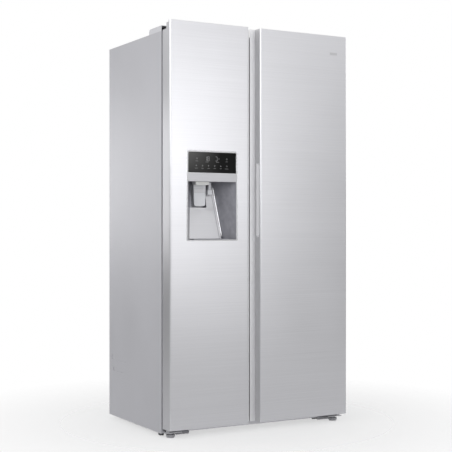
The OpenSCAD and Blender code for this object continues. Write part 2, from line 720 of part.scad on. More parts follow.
// Upright ring from t0 to t1: outer corners lo and hi, given as [u, z], and its width
module ring(lo, hi, width, t0, t1) {
  difference() {
    span([lo[0], t0, lo[1]], [hi[0], t1, hi[1]]);
    span([lo[0] + width, t0 - 1, lo[1] + width], [hi[0] - width, t1 + 1, hi[1] - width]);
  }
}
module door_inner(side) {
  m = [liner_t, liner_t];
  half(side) difference() {
    union() {
      span([skin, door_d - liner_t, door_base], [door_w(side) - grip_wall, door_d, door_rear_top]);
      ring(dyke_lo(), dyke_hi(side), dyke_w, door_d - eps, dyke_t);
    }
    ring(dyke_lo() + m, dyke_hi(side) - m, dyke_w - 2 * liner_t, door_d - liner_t - 1, dyke_t - liner_t);
  }
}
module gasket(side) {
  color([0.5, 0.51, 0.53]) half(side)
    ring([hinge_u + 2, door_base + 25], [door_w(side) - 2, door_rear_top - 12], 14, door_d, cabinet_t - 0.3);
}
// Door bin hung between the ridges
bin_u0 = wall_w + dyke_gap + dyke_w + 0.5;
function bin_u1(side) = room_u1(side) - dyke_gap - dyke_w - 0.5;
module bin(side, z) {
  tray([bin_u0, door_d, z], [bin_u1(side), bin_t, z + bin_h], bin_wall);
}

module freezer_door_skin() {
  color([0.84, 0.84, 0.86]) difference() {
    door_skin(freezer);
    disp_block(0, -1, 5);
  }
}
module freezer_door_caps() { color([0.62, 0.62, 0.65]) door_caps(freezer); }
module freezer_door_grip() { color([0.7, 0.7, 0.73]) door_grip(freezer); }
module freezer_gasket() { gasket(freezer); }
module freezer_door_foam() {
  color([0.9, 0.87, 0.7]) difference() {
    door_foam(freezer);
    disp_block(0, -1, door_d + 1);
    half(freezer) span([chute_u - 42, 20, disp_z + 10], [chute_u + 42, door_d + 1, bump_z[1] + 10]);
  }
}
module freezer_door_liner() {
  in_z = bump_z[0] + bump_wall;
  color([0.93, 0.94, 0.95]) difference() {
    union() {
      door_inner(freezer);
      half(freezer) span([bump_u[0], door_d - eps, bump_z[0]], [bump_u[1], bump_t, bump_z[1]]);
    }
    half(freezer) {
      span([bump_u[0] + bump_wall, door_d - liner_t - 1, in_z],
           [bump_u[1] - bump_wall, bump_t - bump_wall, bump_z[1] - bump_wall]);
      span([chute_u - 34, 90, bump_z[1] - 5], [chute_u + 34, 128, bump_z[1] + 1]);
    }
  }
}
module freezer_bins() {
  zs = concat([for (k = [0:3]) floor_z + 38 + 170 * k], [bucket_z + bucket_h + 16]);
  color([0.85, 0.91, 0.95]) half(freezer) for (z = zs) bin(freezer, z);
}

// ---------- Dispenser ----------
// Space of the cavity, pushed out by m
module cavity(m) {
  lo = cavity_u[0] - m;
  hi = cavity_u[1] + m;
  end = cavity_t + 6;
  front = m > 0 ? 3 : -1;
  half(freezer) intersection() {
    translate([0, 0, disp_z - 20]) linear_extrude(cavity_h + 60) polygon([
      [lo, front], [hi, front], [hi, max(front, 3)],
      [hi - cavity_slope * end, end], [lo + cavity_slope * end, end],
      [lo, max(front, 3)]
    ]);
    profile(disp_u - 20, disp_u + disp_w + 20, [
      [front, cavity_z[0] - m], [cavity_low_t + m, cavity_z[0] - m],
      [cavity_t + m, cavity_z[1] + m], [front, cavity_z[1] + m]
    ]);
  }
}
niche_w = paddle_w + 10;
niche_z = cavity_z[1] - 111;
// Niche behind the paddle, pushed out by m
module niche(m) {
  half(freezer)
    span([paddle_u - niche_w / 2 - m, 60, niche_z - m],
         [paddle_u + niche_w / 2 + m, 116 + m, cavity_z[1] - 2]);
}
chute_w = 66;
chute_front = 34;                             // front and back of the ice chute's mouth
chute_back = 68;
paddle_pin = 2.5;
module dispenser_housing() {
  color([0.55, 0.56, 0.58]) difference() {
    union() {
      difference() {
        disp_block(1, 3, 5);
        half(freezer) span([cavity_u[0] - 1, 0, disp_z - 1], [cavity_u[1] + 1, 9, cavity_z[1]]);
      }
      cavity(2.5);
      niche(2.5);
    }
    difference() {
      union() {
        cavity(0);
        niche(0);
      }
      for (u = [paddle_u - paddle_w / 2 - 6, paddle_u + paddle_w / 2 + 2]) half(freezer)
        span([u, paddle_t - 6, paddle_axis_z - 6], [u + 4, paddle_t + 6, cavity_z[1] + 1]);
    }
    half(freezer) {
      bar([paddle_u - paddle_w / 2 - 10, paddle_t, paddle_axis_z], paddle_pin + run_gap, paddle_w + 20, "x");
      span([chute_u - chute_w / 2, chute_front, cavity_z[1] - 1],
           [chute_u + chute_w / 2, chute_back, cavity_z[1] + 9]);
    }
  }
}
module dispenser_bezel() {
  color([0.8, 0.8, 0.82]) difference() {
    disp_block(0, 0, 3);
    half(freezer) {
      span([cavity_u[0], -1, cavity_z[0]], [cavity_u[1], 4, cavity_z[1]]);
      span([cavity_u[0], -1, display_z[0]], [cavity_u[1], 4, display_z[1]]);
    }
  }
}
module display_panel() {
  color([0.06, 0.06, 0.07]) half(freezer)
    span([cavity_u[0], 0.4, display_z[0]], [cavity_u[1], 3, display_z[1]]);
}
module paddle() {
  r = 10;
  color([0.72, 0.73, 0.75]) half(freezer) translate([paddle_u, paddle_t, paddle_axis_z]) {
    bar([-paddle_w / 2 - 5.5, 0, 0], paddle_pin, paddle_w + 11, "x");
    translate([0, 1.5, 0]) rotate([90, 0, 0]) linear_extrude(3) {
      translate([-paddle_w / 2, r - paddle_h]) square([paddle_w, paddle_h - r]);
      translate([-paddle_w / 2 + r, -paddle_h]) square([paddle_w - 2 * r, r + 1]);
      for (x = [-paddle_w / 2 + r, paddle_w / 2 - r]) translate([x, r - paddle_h]) circle(r);
    }
  }
}
// Side view of the ice chute, drawn in by m
function chute_points(m, over) = [
  [chute_front + m, cavity_z[1] - 12 - over], [chute_back - m, cavity_z[1] - 12 - over],
  [chute_back - m, cavity_z[1] + 40], [128 - m, bump_z[1] - bump_wall + over],
  [90 + m, bump_z[1] - bump_wall + over], [chute_front + m, cavity_z[1] + 90]
];
flap_t = chute_front + 6;
flap_z = cavity_z[1] + 24;
module ice_chute() {
  color([0.93, 0.94, 0.95]) half(freezer) difference() {
    profile(chute_u - chute_w / 2 + 0.3, chute_u + chute_w / 2 - 0.3, chute_points(0.3, 0));
    profile(chute_u - chute_w / 2 + 2.3, chute_u + chute_w / 2 - 2.3, chute_points(2.3, 1));
    bar([chute_u - chute_w / 2 - 1, flap_t, flap_z], 2 + run_gap, chute_w + 2, "x");
  }
}
module chute_flap() {
  color([0.3, 0.3, 0.32]) half(freezer) {
    bar([chute_u - chute_w / 2 + 0.6, flap_t, flap_z], 2, chute_w - 1.2, "x");
    span([chute_u - chute_w / 2 + 3.3, flap_t, flap_z - 1],
         [chute_u + chute_w / 2 - 3.3, chute_back - 4, flap_z + 1]);
  }
}
module drip_grille() {
  lo = cavity_u[0] + cavity_slope * 50 + 2;
  hi = cavity_u[1] - cavity_slope * 50 - 2;
  color([0.45, 0.46, 0.48]) half(freezer) difference() {
    span([lo, 6, cavity_z[0]], [hi, 48, cavity_z[0] + 4]);
    for (u = [lo + 8:10:hi - 12]) span([u, 11, cavity_z[0] - 1], [u + 5, 43, cavity_z[0] + 5]);
  }
}

// ---------- Fridge door ----------
module fridge_door_skin() { color([0.82, 0.82, 0.85]) door_skin(fridge); }
module fridge_door_foam() { color([0.9, 0.87, 0.7]) door_foam(fridge); }
module fridge_door_liner() { color([0.93, 0.94, 0.95]) door_inner(fridge); }
module fridge_door_caps() { color([0.62, 0.62, 0.65]) door_caps(fridge); }
module fridge_door_grip() { color([0.7, 0.7, 0.73]) door_grip(fridge); }
module fridge_gasket() { gasket(fridge); }
dairy_z = ceiling_z - 284;                    // bin with the lid
lid_t = door_d + 14;                          // lid's pivot
lid_z = dairy_z + 140;
lid_w = bin_u1(fridge) - bin_u0 - 12;
module fridge_bins() {
  color([0.85, 0.91, 0.95]) half(fridge) {
    for (z = shelf_zs(6, floor_z - 130, dairy_z)) bin(fridge, z);
    bin(fridge, dairy_z);
    for (u = [bin_u0, bin_u1(fridge) - 4]) difference() {
      span([u, door_d, dairy_z], [u + 4, lid_t + 8, lid_z + 8]);
      bar([u - 1, lid_t, lid_z], 3 + run_gap, 6, "x");
    }
  }
}
module dairy_lid() {
  u0 = bin_u0 + 6;
  color([0.8, 0.88, 0.93, 0.7]) half(fridge) {
    bar([bin_u0 + 0.5, lid_t, lid_z], 3, bin_u1(fridge) - bin_u0 - 1, "x");
    profile(u0, u0 + lid_w, [
      [lid_t - 2, lid_z - 1.5], [bin_t - 12, lid_z - 1.5], [bin_t - 8, lid_z - 25],
      [bin_t - 5, lid_z - 25], [bin_t - 9, lid_z + 1.5], [lid_t - 2, lid_z + 1.5]
    ]);
  }
}

// ---------- Pieces ----------
side_panel_left();
side_panel_right();
top_panel();
back_panel();
base_pan();
front_frame();
cabinet_foam();
freezer_liner();
fridge_liner();
freezer_duct_cover();
evaporator();
evaporator_fan();
freezer_shelves();
ice_maker();
ice_bucket();
ice_auger();
freezer_drawer_lower();
freezer_drawer_upper();
fridge_shelf_glass();
fridge_shelf_frames();
crisper_lower();
crisper_upper();
fridge_duct_cover();
lamps();
top_hinges();
hinge_covers();
bottom_hinges();
foot_left();
foot_right();
front_rollers();
rear_rollers();
compressor();
condenser();
condenser_fan();
drain_pan();
machine_cover();
water_inlet();
cord_gland();
freezer_door_skin();
freezer_door_foam();
freezer_door_liner();
freezer_door_caps();
freezer_door_grip();
freezer_gasket();
freezer_bins();
dispenser_housing();
dispenser_bezel();
display_panel();
paddle();
ice_chute();
chute_flap();
drip_grille();
fridge_door_skin();
fridge_door_foam();
fridge_door_liner();
fridge_door_caps();
fridge_door_grip();
fridge_gasket();
fridge_bins();
dairy_lid();
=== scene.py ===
"""Side by side refrigerator: looks, materials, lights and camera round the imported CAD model."""
import json
import math

import bmesh
import bpy
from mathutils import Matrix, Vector


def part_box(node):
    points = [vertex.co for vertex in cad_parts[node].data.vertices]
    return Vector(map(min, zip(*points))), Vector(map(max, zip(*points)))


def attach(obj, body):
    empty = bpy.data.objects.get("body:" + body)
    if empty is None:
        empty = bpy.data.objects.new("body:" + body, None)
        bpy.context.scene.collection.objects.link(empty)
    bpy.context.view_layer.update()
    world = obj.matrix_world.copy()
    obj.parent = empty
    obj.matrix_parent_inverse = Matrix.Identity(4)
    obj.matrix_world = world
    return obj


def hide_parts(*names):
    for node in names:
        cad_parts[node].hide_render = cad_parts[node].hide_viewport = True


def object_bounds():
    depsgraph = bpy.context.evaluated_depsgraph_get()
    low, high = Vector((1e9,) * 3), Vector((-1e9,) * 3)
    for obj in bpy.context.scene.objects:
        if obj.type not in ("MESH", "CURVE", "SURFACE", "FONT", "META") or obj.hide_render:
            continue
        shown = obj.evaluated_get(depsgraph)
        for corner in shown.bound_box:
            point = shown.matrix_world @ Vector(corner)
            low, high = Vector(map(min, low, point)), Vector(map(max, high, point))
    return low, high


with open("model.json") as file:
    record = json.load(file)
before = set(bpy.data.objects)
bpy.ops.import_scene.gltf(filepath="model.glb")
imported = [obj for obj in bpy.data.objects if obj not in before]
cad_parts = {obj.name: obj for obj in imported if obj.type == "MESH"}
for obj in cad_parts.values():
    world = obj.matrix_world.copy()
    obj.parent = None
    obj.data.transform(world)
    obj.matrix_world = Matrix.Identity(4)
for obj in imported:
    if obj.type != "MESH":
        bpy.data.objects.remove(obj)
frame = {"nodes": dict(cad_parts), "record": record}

CAD_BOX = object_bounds()
NODES = frame["nodes"]
MM = 0.001
LEFT, RIGHT = -1, 1                     # freezer half, fridge half

# ---------- Camera ----------
CAMERA_AT = Vector((-2.456, -4.3875, 0.902))
CAMERA_AZIMUTH = math.radians(-29.21)
LENS_MM = 85.64
SENSOR_MM = 36.0
SHIFT_Y = 0.0009


def make_camera():
    data = bpy.data.cameras.new("camera")
    data.lens = LENS_MM
    data.sensor_width = SENSOR_MM
    data.shift_y = SHIFT_Y
    camera = bpy.data.objects.new("camera", data)
    camera.location = CAMERA_AT
    camera.rotation_euler = (math.pi / 2, 0, CAMERA_AZIMUTH)
    bpy.context.scene.collection.objects.link(camera)
    bpy.context.scene.camera = camera


# ---------- Node helpers ----------
class Tree:
    """A material's node tree with short calls for the nodes used here."""

    def __init__(self, name):
        self.material = bpy.data.materials.new(name)
        self.material.use_nodes = True
        self.nodes = self.material.node_tree.nodes
        self.links = self.material.node_tree.links
        self.shader = self.nodes["Principled BSDF"]

    def add(self, kind, **settings):
        node = self.nodes.new(kind)
        for key, value in settings.items():
            setattr(node, key, value)
        return node

    def put(self, socket, value):
        if isinstance(value, bpy.types.NodeSocket):
            self.links.new(value, socket)
        else:
            socket.default_value = value

    def place(self, scale):
        """Row-frame coordinates, stretched by scale along X, Y and Z."""
        coords = self.add("ShaderNodeTexCoord")
        mapping = self.add("ShaderNodeMapping")
        self.put(mapping.inputs["Vector"], coords.outputs["Object"])
        mapping.inputs["Scale"].default_value = scale
        return mapping.outputs["Vector"]

    def noise(self, scale, detail=3.0, rough=0.55):
        node = self.add("ShaderNodeTexNoise")
        self.put(node.inputs["Vector"], self.place(scale))
        node.inputs["Scale"].default_value = 1.0
        node.inputs["Detail"].default_value = detail
        node.inputs["Roughness"].default_value = rough
        return node.outputs["Fac"]

    def math(self, operation, a, b=0.0, clamp=False):
        node = self.add("ShaderNodeMath", operation=operation, use_clamp=clamp)
        self.put(node.inputs[0], a)
        self.put(node.inputs[1], b)
        return node.outputs[0]

    def spread(self, value, low, high, start=0.3, end=0.7):
        """value from start..end taken to low..high."""
        node = self.add("ShaderNodeMapRange")
        self.put(node.inputs["Value"], value)
        for name, number in zip(("From Min", "From Max", "To Min", "To Max"), (start, end, low, high)):
            node.inputs[name].default_value = number
        return node.outputs["Result"]

    def blend(self, factor, a, b, mode="MIX"):
        node = self.add("ShaderNodeMix", data_type="RGBA", blend_type=mode)
        self.put(node.inputs["Factor"], factor)
        for socket, value in zip((node.inputs["A"], node.inputs["B"]), (a, b)):
            colour_socket = [s for s in node.inputs if s.name == socket.name and s.type == "RGBA"][0]
            self.put(colour_socket, value)
        return [s for s in node.outputs if s.type == "RGBA"][0]

    def edges(self, radius):
        """(normal rounded at the edges, mask that is 1 on an edge)."""
        bevel = self.add("ShaderNodeBevel", samples=4)
        bevel.inputs["Radius"].default_value = radius
        flat = self.add("ShaderNodeNewGeometry").outputs["Normal"]
        dot = self.add("ShaderNodeVectorMath", operation="DOT_PRODUCT")
        self.put(dot.inputs[0], bevel.outputs["Normal"])
        self.put(dot.inputs[1], flat)
        return bevel.outputs["Normal"], self.spread(dot.outputs["Value"], 1.0, 0.0, 0.75, 0.99)

    def bump(self, height, strength, distance, normal=None):
        node = self.add("ShaderNodeBump")
        node.inputs["Strength"].default_value = strength
        node.inputs["Distance"].default_value = distance
        self.put(node.inputs["Height"], height)
        if normal is not None:
            self.put(node.inputs["Normal"], normal)
        return node.outputs["Normal"]


def rgba(colour, gain=1.0):
    return tuple(min(1.0, c * gain) for c in colour) + (1.0,)


# ---------- Materials ----------
GRAIN_Z = (2.5, 2.5, 1500.0)            # long grain lying across, thin along Z
GRAIN_COARSE = (1.2, 1.2, 260.0)
SMUDGE = (5.0, 5.0, 3.5)


def brushed(name, colour, rough=0.36, metallic=1.0, grain=GRAIN_Z, coarse=GRAIN_COARSE, contrast=0.05,
            aniso=0.5, edge=0.0008, painted_side_shade=1.0):
    """Sheet metal with a brushed grain, faint smudges and polished edges; faces turned across X take painted
    shade, their colour scaled by the side factor.
    """
    t = Tree(name)
    fine = t.noise(grain, 2.0)
    long_grain = t.noise(coarse, 3.0)
    cloud = t.noise(SMUDGE, 4.0)
    mix = t.math("ADD", t.math("MULTIPLY", fine, 0.75), t.math("MULTIPLY", long_grain, 0.25))
    normal, edge_mask = t.edges(edge)
    tone = t.blend(t.spread(mix, 0.0, 1.0), rgba(colour, 1 - contrast), rgba(colour, 1 + contrast))
    tone = t.blend(t.math("MULTIPLY", t.spread(cloud, 0.0, 0.35, 0.45, 0.75), 0.2), tone, rgba(colour, 0.86))
    # painted shade: faces turned across X, such as the door sides and grip walls, get a darker colour
    if painted_side_shade != 1.0:
        facing = t.add("ShaderNodeSeparateXYZ")
        t.put(facing.inputs[0], t.add("ShaderNodeTexCoord").outputs["Normal"])
        side = t.spread(t.math("ABSOLUTE", facing.outputs["X"]), 0.0, 1.0, 0.8, 0.95)
        tone = t.blend(side, tone, rgba(colour, painted_side_shade))
    tone = t.blend(t.math("MULTIPLY", edge_mask, 0.5), tone, rgba(colour, 1.18))
    t.put(t.shader.inputs["Base Color"], tone)
    gloss = t.math("ADD", t.spread(mix, rough - 0.02, rough + 0.03), t.spread(cloud, -0.01, 0.02))
    t.put(t.shader.inputs["Roughness"], t.math("SUBTRACT", gloss, t.math("MULTIPLY", edge_mask, 0.06)))
    t.shader.inputs["Metallic"].default_value = metallic
    t.shader.inputs["Anisotropic"].default_value = aniso
    t.put(t.shader.inputs["Normal"], t.bump(fine, 0.08, 0.0001, normal))
    return t.material


def painted(name, colour, rough=0.42, metallic=0.25, grain=420.0, depth=0.00008, edge=0.001, wear=0.25,
            coat=0.0, cloud_size=3.0):
    """Enamel or moulded plastic: fine orange peel, soft tone changes and edges rubbed lighter."""
    t = Tree(name)
    peel = t.noise((grain, grain, grain), 2.0)
    cloud = t.noise((cloud_size, cloud_size, cloud_size * 0.7), 4.0)
    speck = t.noise((grain * 2.6,) * 3, 1.0)
    normal, edge_mask = t.edges(edge)
    change = 0.035 if cloud_size < 10 else 0.14
    tone = t.blend(t.spread(cloud, 0.0, 1.0), rgba(colour, 1 - change), rgba(colour, 1 + change))
    tone = t.blend(t.spread(speck, 0.0, 0.05, 0.35, 0.75), tone, rgba(colour, 0.8))
    edge_tone = tuple(0.55 * c + 0.45 for c in colour) + (1.0,)
    worn = t.math("MULTIPLY", t.math("MULTIPLY", edge_mask, wear), t.spread(peel, 0.5, 1.0))
    t.put(t.shader.inputs["Base Color"], t.blend(worn, tone, edge_tone))
    gloss = t.math("ADD", t.spread(cloud, rough - 0.03, rough + 0.05), t.spread(peel, -0.03, 0.03))
    t.put(t.shader.inputs["Roughness"], gloss)
    t.shader.inputs["Metallic"].default_value = metallic
    if coat:
        t.shader.inputs["Coat Weight"].default_value = coat
        t.shader.inputs["Coat Roughness"].default_value = 0.12
    t.put(t.shader.inputs["Normal"], t.bump(peel, 0.25, depth, normal))
    return t.material


def clear(name, colour, rough=0.08, alpha=0.45, frost=0.0):
    """Clear or tinted plastic and glass, with faint flow marks and brighter edges."""
    t = Tree(name)
    flow = t.noise((30.0, 30.0, 12.0), 3.0)
    normal, edge_mask = t.edges(0.0012)
    tone = t.blend(t.spread(flow, 0.0, 1.0), rgba(colour, 0.96), rgba(colour, 1.03))
    t.put(t.shader.inputs["Base Color"], t.blend(edge_mask, tone, rgba(colour, 1.12)))
    t.put(t.shader.inputs["Roughness"], t.spread(flow, rough + frost, rough + frost + 0.05))
    density = t.spread(flow, alpha - 0.03, alpha + 0.03)
    t.put(t.shader.inputs["Alpha"], t.math("ADD", density, t.math("MULTIPLY", edge_mask, 0.4), clamp=True))
    t.shader.inputs["IOR"].default_value = 1.5
    t.put(t.shader.inputs["Normal"], t.bump(flow, 0.1, 0.0004, normal))
    return t.material


def display_glass():
    """Smoked glass: near black, with a painted reflection that turns its colour paler towards its upper left
    corner, and fine wipe marks.
    """
    t = Tree("display_black")
    split = t.add("ShaderNodeSeparateXYZ")
    t.put(split.inputs[0], t.place((1.0, 1.0, 1.0)))
    across = t.spread(split.outputs["X"], 1.0, 0.0, -0.375, -0.21)
    up = t.spread(split.outputs["Z"], 0.25, 1.0, 1.13, 1.22)
    wipe = t.noise((60.0, 60.0, 9.0), 3.0)
    # painted reflection: the base colour grows paler towards the upper left corner, standing in for light
    # reflected there
    painted_reflection = t.math("MULTIPLY", t.math("MULTIPLY", across, up), t.spread(wipe, 0.92, 1.0))
    t.put(t.shader.inputs["Base Color"], t.blend(painted_reflection, (0.004, 0.004, 0.004, 1), (0.115, 0.114, 0.112, 1)))
    t.put(t.shader.inputs["Roughness"], t.spread(wipe, 0.16, 0.20))
    t.shader.inputs["Specular IOR Level"].default_value = 0.12
    t.put(t.shader.inputs["Normal"], t.edges(0.0012)[0])
    return t.material


def foam_material():
    t = Tree("foam")
    cells = t.add("ShaderNodeTexVoronoi")
    t.put(cells.inputs["Vector"], t.place((380.0, 380.0, 380.0)))
    cells.inputs["Scale"].default_value = 1.0
    cloud = t.noise((14.0, 14.0, 14.0), 4.0)
    tone = t.blend(t.spread(cloud, 0.0, 1.0), (0.80, 0.72, 0.45, 1), (0.88, 0.82, 0.58, 1))
    t.put(t.shader.inputs["Base Color"], tone)
    t.put(t.shader.inputs["Roughness"], t.spread(cloud, 0.85, 0.95))
    t.put(t.shader.inputs["Normal"], t.bump(cells.outputs["Distance"], 0.5, 0.0006))
    return t.material


STEEL_TINT = (0.80, 0.80, 0.83)
MATERIALS = {
    # door_steel: its side faces take painted shade (0.82)
    "door_steel": brushed("door_steel", STEEL_TINT, painted_side_shade=0.82),
    # channel_trim: its pale colour is partly its own silver and partly painted light brightening the grip
    # ledges; its side faces take painted shade (0.66)
    "channel_trim": brushed("channel_trim", (0.93, 0.93, 0.95), 0.42, 0.55, coarse=(260.0, 260.0, 1.2),
                            grain=(1500.0, 1500.0, 2.5), aniso=0.2, painted_side_shade=0.66),
    "cabinet_paint": painted("cabinet_paint", (0.50, 0.50, 0.53)),
    "frame_paint": painted("frame_paint", (0.75, 0.75, 0.78), 0.38),
    "back_steel": painted("back_steel", (0.42, 0.43, 0.45), 0.5, 0.6, grain=160.0),
    "base_steel": painted("base_steel", (0.30, 0.31, 0.33), 0.5, 0.7, grain=160.0),
    "hinge_steel": brushed("hinge_steel", (0.55, 0.55, 0.57), 0.42, contrast=0.1),
    "cover_plastic": painted("cover_plastic", (0.60, 0.60, 0.63), 0.5, 0.0, grain=900.0),
    "foam": foam_material(),
    "liner_plastic": painted("liner_plastic", (0.86, 0.87, 0.88), 0.28, 0.0, grain=90.0, depth=0.0002),
    "clear_plastic": clear("clear_plastic", (0.82, 0.89, 0.93)),
    "shelf_glass": clear("shelf_glass", (0.72, 0.88, 0.86), 0.03, 0.35),
    "trim_plastic": painted("trim_plastic", (0.82, 0.83, 0.85), 0.3, 0.0),
    "gasket_rubber": painted("gasket_rubber", (0.30, 0.30, 0.32), 0.75, 0.0, grain=700.0),
    "fin_aluminium": brushed("fin_aluminium", (0.78, 0.79, 0.80), 0.4),
    "dark_plastic": painted("dark_plastic", (0.05, 0.05, 0.055), 0.5, 0.0, grain=900.0),
    "compressor_black": painted("compressor_black", (0.015, 0.015, 0.017), 0.35, 0.2, grain=160.0, coat=0.3),
    "condenser_black": painted("condenser_black", (0.03, 0.03, 0.033), 0.45, 0.3),
    "dispenser_grey": painted("dispenser_grey", (0.27, 0.27, 0.30), 0.36, 0.3, grain=900.0, cloud_size=45.0),
    "dispenser_silver": brushed("dispenser_silver", (0.52, 0.52, 0.54), 0.42),
    "display_black": display_glass(),
    "paddle_grey": painted("paddle_grey", (0.70, 0.71, 0.74), 0.3, 0.1),
    "lamp_white": painted("lamp_white", (0.93, 0.93, 0.90), 0.35, 0.0, grain=250.0),
    "zinc": brushed("zinc", (0.68, 0.68, 0.70), 0.3),
    "bright_trim": brushed("bright_trim", (0.93, 0.93, 0.95), 0.16, contrast=0.02, aniso=0.0),
    "display_mark": painted("display_mark", (0.36, 0.36, 0.37), 0.5, 0.0),
    "copper": brushed("copper", (0.72, 0.40, 0.26), 0.3, contrast=0.1, aniso=0.0),
    "foot_grey": painted("foot_grey", (0.40, 0.40, 0.42), 0.5, 0.3, grain=300.0),
}


def dress_cad():
    for part in frame["record"]["subparts"]:
        materials = NODES[part["node"]].data.materials
        materials.clear()
        materials.append(MATERIALS[part["material_slot"]])


# ---------- Mesh helpers ----------
WIDTH = CAD_BOX[1][0] - CAD_BOX[0][0]
FRONT_Y = CAD_BOX[0][1]


def spot(side, u, t, z):
    """Row-frame point in metres: u mm in from a side, t mm behind the door fronts, z mm up."""
    return Vector((side * (WIDTH / 2 - u * MM), FRONT_Y + t * MM, z * MM))


def piece(name, mesh, material, body, smooth=True):
    """A finished piece from a mesh or bmesh, riding on its body."""
    if isinstance(mesh, bmesh.types.BMesh):
        bm, mesh = mesh, bpy.data.meshes.new(name)
        bmesh.ops.recalc_face_normals(bm, faces=bm.faces)
        bm.to_mesh(mesh)
        bm.free()
    for face in mesh.polygons:
        face.use_smooth = smooth
    mesh.materials.clear()
    mesh.materials.append(MATERIALS[material])
    obj = bpy.data.objects.new(name, mesh)
    bpy.context.scene.collection.objects.link(obj)
    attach(obj, body)
    return obj


def merge(bm, part):
    """Adds the bmesh part to bm and frees it."""
    scratch = bpy.data.meshes.new("scratch")
    part.to_mesh(scratch)
    part.free()
    bm.from_mesh(scratch)
    bpy.data.meshes.remove(scratch)


def add_prism(bm, outline, depth, bevel=0.0, segments=3):
    """Closed solid from a ring of points, pushed along the vector depth, with rounded edges."""
    part = bmesh.new()
    face = part.faces.new([part.verts.new(p) for p in outline])
    swept = bmesh.ops.extrude_face_region(part, geom=[face])
    moved = [v for v in swept["geom"] if isinstance(v, bmesh.types.BMVert)]
    bmesh.ops.translate(part, vec=depth, verts=moved)
    bmesh.ops.recalc_face_normals(part, faces=part.faces)
    if bevel:
        bmesh.ops.bevel(part, geom=list(part.edges), offset=bevel, segments=segments, profile=0.5,
                        affect="EDGES", clamp_overlap=True)
    merge(bm, part)


def add_box(bm, low, high, bevel=0.0, segments=3):
    x0, x1 = sorted((low[0], high[0]))
    y0, y1 = sorted((low[1], high[1]))
    z0, z1 = sorted((low[2], high[2]))
    add_prism(bm, [(x0, y0, z0), (x1, y0, z0), (x1, y1, z0), (x0, y1, z0)], (0, 0, z1 - z0), bevel, segments)


def rounded_rect(x0, x1, z0, z1, radii, steps=8):
    """Corner-rounded rectangle as (x, z) points; radii go low-left, low-right, high-right, high-left."""
    corners = [(x0, z0, 180), (x1, z0, 270), (x1, z1, 0), (x0, z1, 90)]
    points = []
    for (x, z, start), r in zip(corners, radii):
        if not r:
            points.append((x, z))
            continue
        cx, cz = x + (r if x == x0 else -r), z + (r if z == z0 else -r)
        for k in range(steps + 1):
            a = math.radians(start + 90 * k / steps)
            points.append((cx + r * math.cos(a), cz + r * math.sin(a)))
    return points


def add_tube(bm, path, radius, closed=False, sides=12):
    """Round bar along a path of points, with flat ends if it is open."""
    count = len(path)
    rings = []
    for k, p in enumerate(path):
        before = path[k - 1] if closed or k else path[k]
        after = path[(k + 1) % count] if closed or k < count - 1 else path[k]
        along = (Vector(after) - Vector(before)).normalized()
        across = along.cross(Vector((0, 1, 0)))
        if across.length < 0.1:
            across = along.cross(Vector((0, 0, 1)))
        across.normalize()
        other = along.cross(across)
        rings.append([bm.verts.new(Vector(p) + radius * (across * math.cos(a) + other * math.sin(a)))
                      for a in (2 * math.pi * j / sides for j in range(sides))])
    for k in range(count if closed else count - 1):
        a, b = rings[k], rings[(k + 1) % count]
        for j in range(sides):
            bm.faces.new((a[j], a[(j + 1) % sides], b[(j + 1) % sides], b[j]))
    if not closed:
        bm.faces.new(rings[0])
        bm.faces.new(rings[-1])


def add_screw(bm, at, out, radius=0.0042, height=0.0022):
    """Domed pan head with a shallow conical recess; out is the unit vector it stands along."""
    out = Vector(out)
    across = out.orthogonal().normalized()
    other = out.cross(across)
    profile = [(0.0, height), (0.35, height * 0.97), (0.7, height * 0.8), (0.93, height * 0.45), (1.0, 0.0),
               (1.0, -0.0004)]
    sides = 20
    rings = []
    for share, lift in profile[1:]:
        middle = Vector(at) + out * lift
        rings.append([bm.verts.new(middle + radius * share * (across * math.cos(a) + other * math.sin(a)))
                      for a in (2 * math.pi * j / sides for j in range(sides))])
    top = bm.verts.new(Vector(at) + out * (height * 0.55))
    for j in range(sides):
        bm.faces.new((top, rings[0][j], rings[0][(j + 1) % sides]))
    for a, b in zip(rings, rings[1:]):
        for j in range(sides):
            bm.faces.new((a[j], b[j], b[(j + 1) % sides], a[(j + 1) % sides]))
    bm.faces.new(rings[-1])


# ---------- Dispenser ----------
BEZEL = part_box("dispenser_bezel")
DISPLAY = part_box("display_panel")
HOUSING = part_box("dispenser_housing")
CAVITY_X = (DISPLAY[0][0], DISPLAY[1][0])
CAVITY_Z = (BEZEL[0][2] + DISPLAY[0][0] - BEZEL[0][0], 1095 * MM)
CAVITY_LOW_T, CAVITY_TOP_T = 60 * MM, 104 * MM   # back wall's depth at its foot and its top
CAVITY_SLOPE = 0.6                               # how far the side walls lean in per depth
NICHE_Z = CAVITY_Z[1] - 111 * MM


def back_depth(z):
    """Depth of the cavity's back wall behind the door front at height z."""
    return CAVITY_LOW_T + (CAVITY_TOP_T - CAVITY_LOW_T) * (z - CAVITY_Z[0]) / (CAVITY_Z[1] - CAVITY_Z[0])


def back_point(inset, z, lift=0.0):
    """Point on the back wall, inset from its left edge (its right one if negative), lifted forward."""
    depth = back_depth(z)
    low = CAVITY_X[0] + CAVITY_SLOPE * depth
    high = CAVITY_X[1] - CAVITY_SLOPE * depth
    return Vector((high + inset if inset < 0 else low + inset, FRONT_Y + depth - lift, z))


def trim_inset(z):
    """How far the bright trim leans in from the right corner at height z."""
    return -(2.5 + 2 * (z - CAVITY_Z[0]) / (CAVITY_Z[1] - CAVITY_Z[0])) * MM


